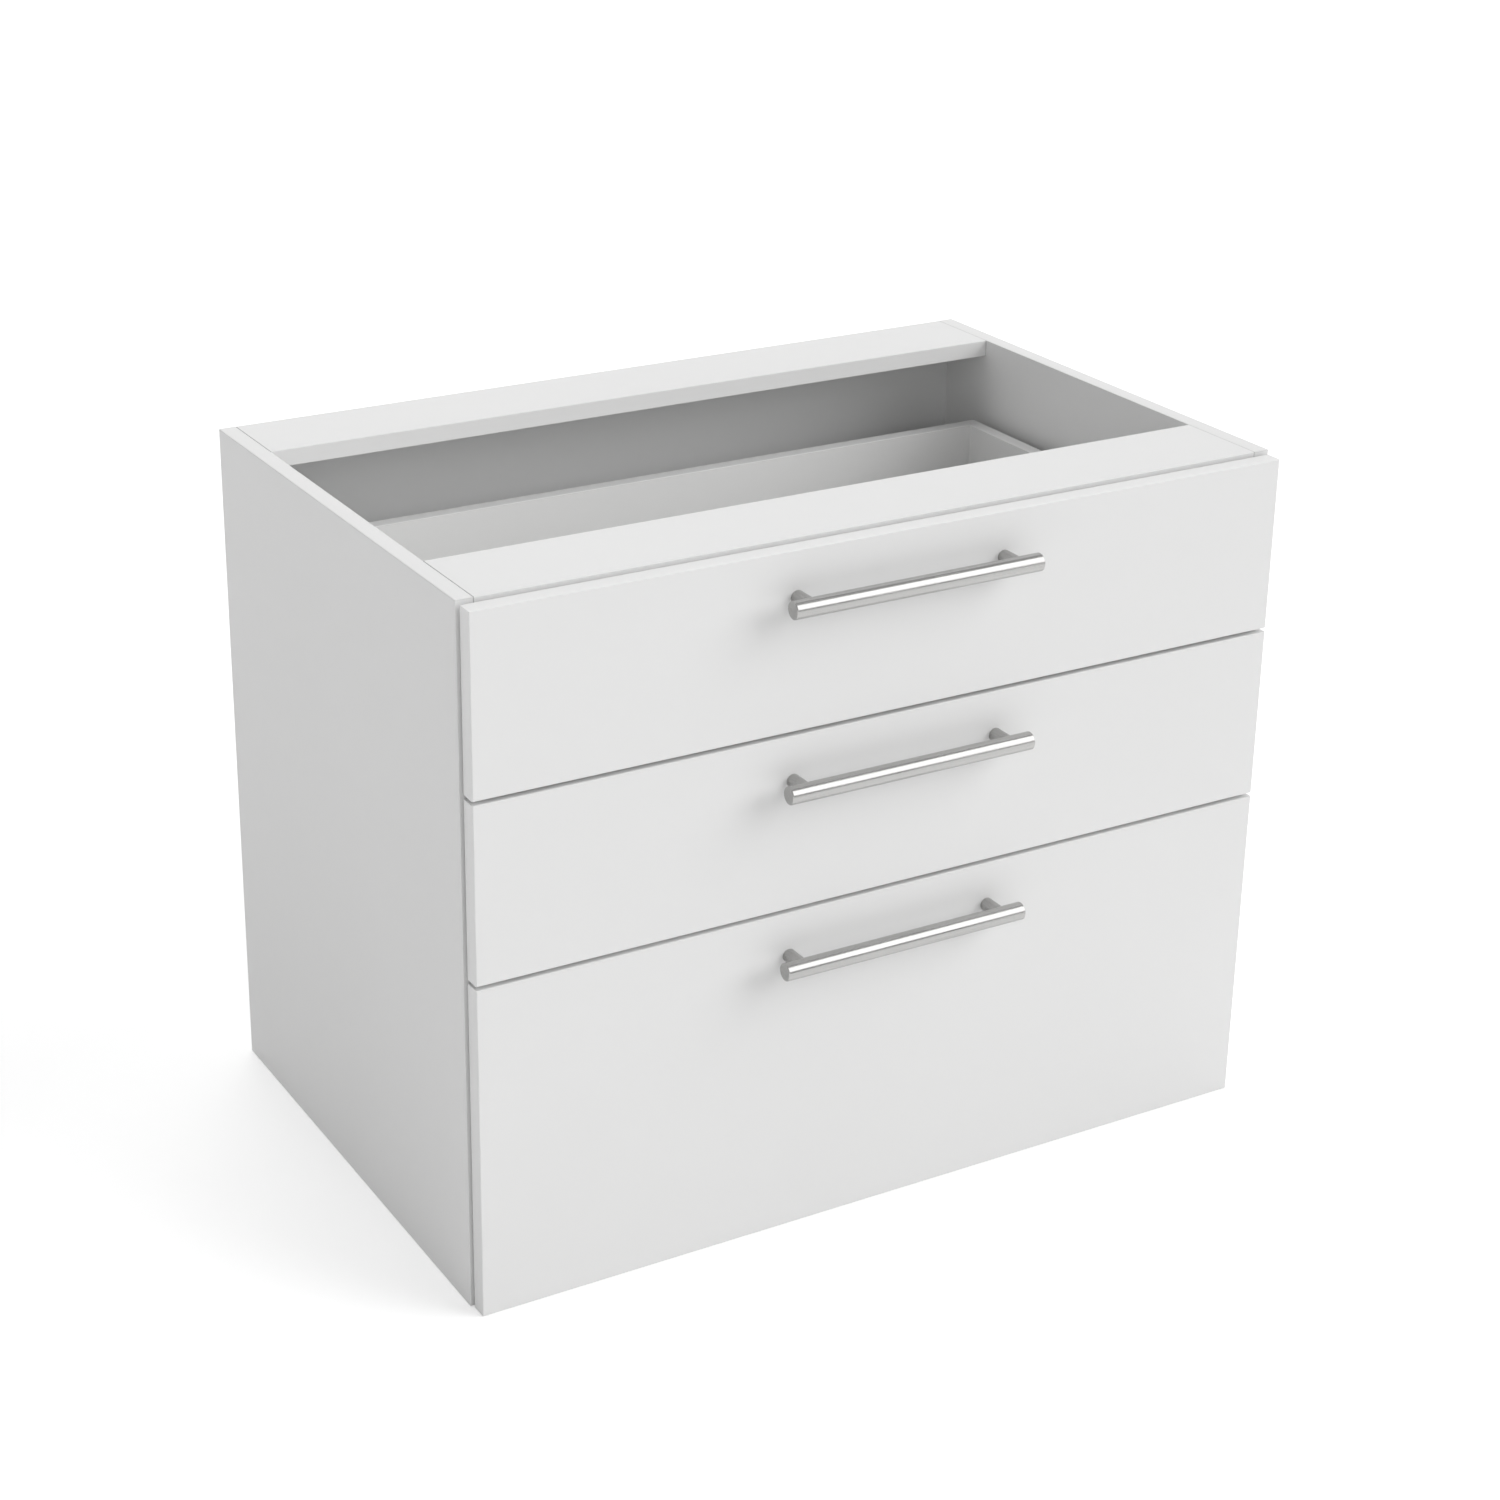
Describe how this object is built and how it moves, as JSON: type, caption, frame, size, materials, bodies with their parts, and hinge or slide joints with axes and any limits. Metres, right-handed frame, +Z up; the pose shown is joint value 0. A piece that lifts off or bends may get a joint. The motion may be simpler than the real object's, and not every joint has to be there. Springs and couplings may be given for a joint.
{
  "type": "kitchen drawer base cabinet",
  "caption": "White kitchen base cabinet with full-overlay drawers on telescopic slides, round bar handles and an open top with rails for a hob or sink.",
  "frame": {"origin": "middle of the footprint, fronts and handles included, on the floor plane", "axes": "+X along the width to the right, +Y from the fronts to the wall, +Z up"},
  "size_m": [0.9, 0.6184, 0.72],
  "materials": {
    "carcass_board": "white melamine-faced board, satin",
    "front_lacquer": "white lacquered board, silk matt",
    "box_board": "white melamine-faced board, satin",
    "back_board": "white faced fibreboard, satin",
    "handle_steel": "satin brushed",
    "slide_zinc": "zinc-plated sheet steel",
    "screw_zinc": "zinc-plated",
    "ball_steel": "polished",
    "dowel_beech": "plain beech",
    "bumper_plastic": "translucent soft plastic",
    "stop_plastic": "moulded black plastic of the slides' stops and release levers"
  },
  "bodies": {
    "carcass": {"left_side_panel": "carcass_board", "right_side_panel": "carcass_board", "bottom_panel": "carcass_board", "front_top_rail": "carcass_board", "rear_top_rail": "carcass_board", "back_panel": "back_board", "carcass_dowels": "dowel_beech", "slide_screws": "screw_zinc", "front_bumpers": "bumper_plastic", "upper_slide_outer_left": "slide_zinc", "upper_slide_outer_right": "slide_zinc", "middle_slide_outer_left": "slide_zinc", "middle_slide_outer_right": "slide_zinc", "lower_slide_outer_left": "slide_zinc", "lower_slide_outer_right": "slide_zinc"},
    "upper_drawer": {"upper_slide_inner_left": "slide_zinc", "upper_slide_inner_right": "slide_zinc", "upper_front": "front_lacquer", "upper_box_left": "box_board", "upper_box_right": "box_board", "upper_box_front": "box_board", "upper_box_back": "box_board", "upper_box_base": "box_board", "upper_box_screws": "screw_zinc", "upper_handle_bar": "handle_steel", "upper_handle_posts": "handle_steel", "upper_handle_screws": "screw_zinc"},
    "upper_carriers": {"upper_slide_carrier_left": "slide_zinc", "upper_slide_carrier_right": "slide_zinc", "upper_slide_balls": "ball_steel"},
    "middle_drawer": {"middle_slide_inner_left": "slide_zinc", "middle_slide_inner_right": "slide_zinc", "middle_front": "front_lacquer", "middle_box_left": "box_board", "middle_box_right": "box_board", "middle_box_front": "box_board", "middle_box_back": "box_board", "middle_box_base": "box_board", "middle_box_screws": "screw_zinc", "middle_handle_bar": "handle_steel", "middle_handle_posts": "handle_steel", "middle_handle_screws": "screw_zinc"},
    "middle_carriers": {"middle_slide_carrier_left": "slide_zinc", "middle_slide_carrier_right": "slide_zinc", "middle_slide_balls": "ball_steel"},
    "lower_drawer": {"lower_slide_inner_left": "slide_zinc", "lower_slide_inner_right": "slide_zinc", "lower_front": "front_lacquer", "lower_box_left": "box_board", "lower_box_right": "box_board", "lower_box_front": "box_board", "lower_box_back": "box_board", "lower_box_base": "box_board", "lower_box_screws": "screw_zinc", "lower_handle_bar": "handle_steel", "lower_handle_posts": "handle_steel", "lower_handle_screws": "screw_zinc"},
    "lower_carriers": {"lower_slide_carrier_left": "slide_zinc", "lower_slide_carrier_right": "slide_zinc", "lower_slide_balls": "ball_steel"}
  },
  "joints": [
    {"name": "upper_drawer_slide", "type": "slide", "parent": "carcass", "child": "upper_drawer", "axis": [0, -1, 0], "range_m": [0, 0.45]},
    {"name": "upper_carrier_slide", "type": "slide", "parent": "carcass", "child": "upper_carriers", "axis": [0, -1, 0], "range_m": [0, 0.225]},
    {"name": "middle_drawer_slide", "type": "slide", "parent": "carcass", "child": "middle_drawer", "axis": [0, -1, 0], "range_m": [0, 0.45]},
    {"name": "middle_carrier_slide", "type": "slide", "parent": "carcass", "child": "middle_carriers", "axis": [0, -1, 0], "range_m": [0, 0.225]},
    {"name": "lower_drawer_slide", "type": "slide", "parent": "carcass", "child": "lower_drawer", "axis": [0, -1, 0], "range_m": [0, 0.45]},
    {"name": "lower_carrier_slide", "type": "slide", "parent": "carcass", "child": "lower_carriers", "axis": [0, -1, 0], "range_m": [0, 0.225]}
  ],
  "couplings": [
    {"joint": "upper_carrier_slide", "follows": "upper_drawer_slide", "ratio": 0.5},
    {"joint": "middle_carrier_slide", "follows": "middle_drawer_slide", "ratio": 0.5},
    {"joint": "lower_carrier_slide", "follows": "lower_drawer_slide", "ratio": 0.5}
  ]
}
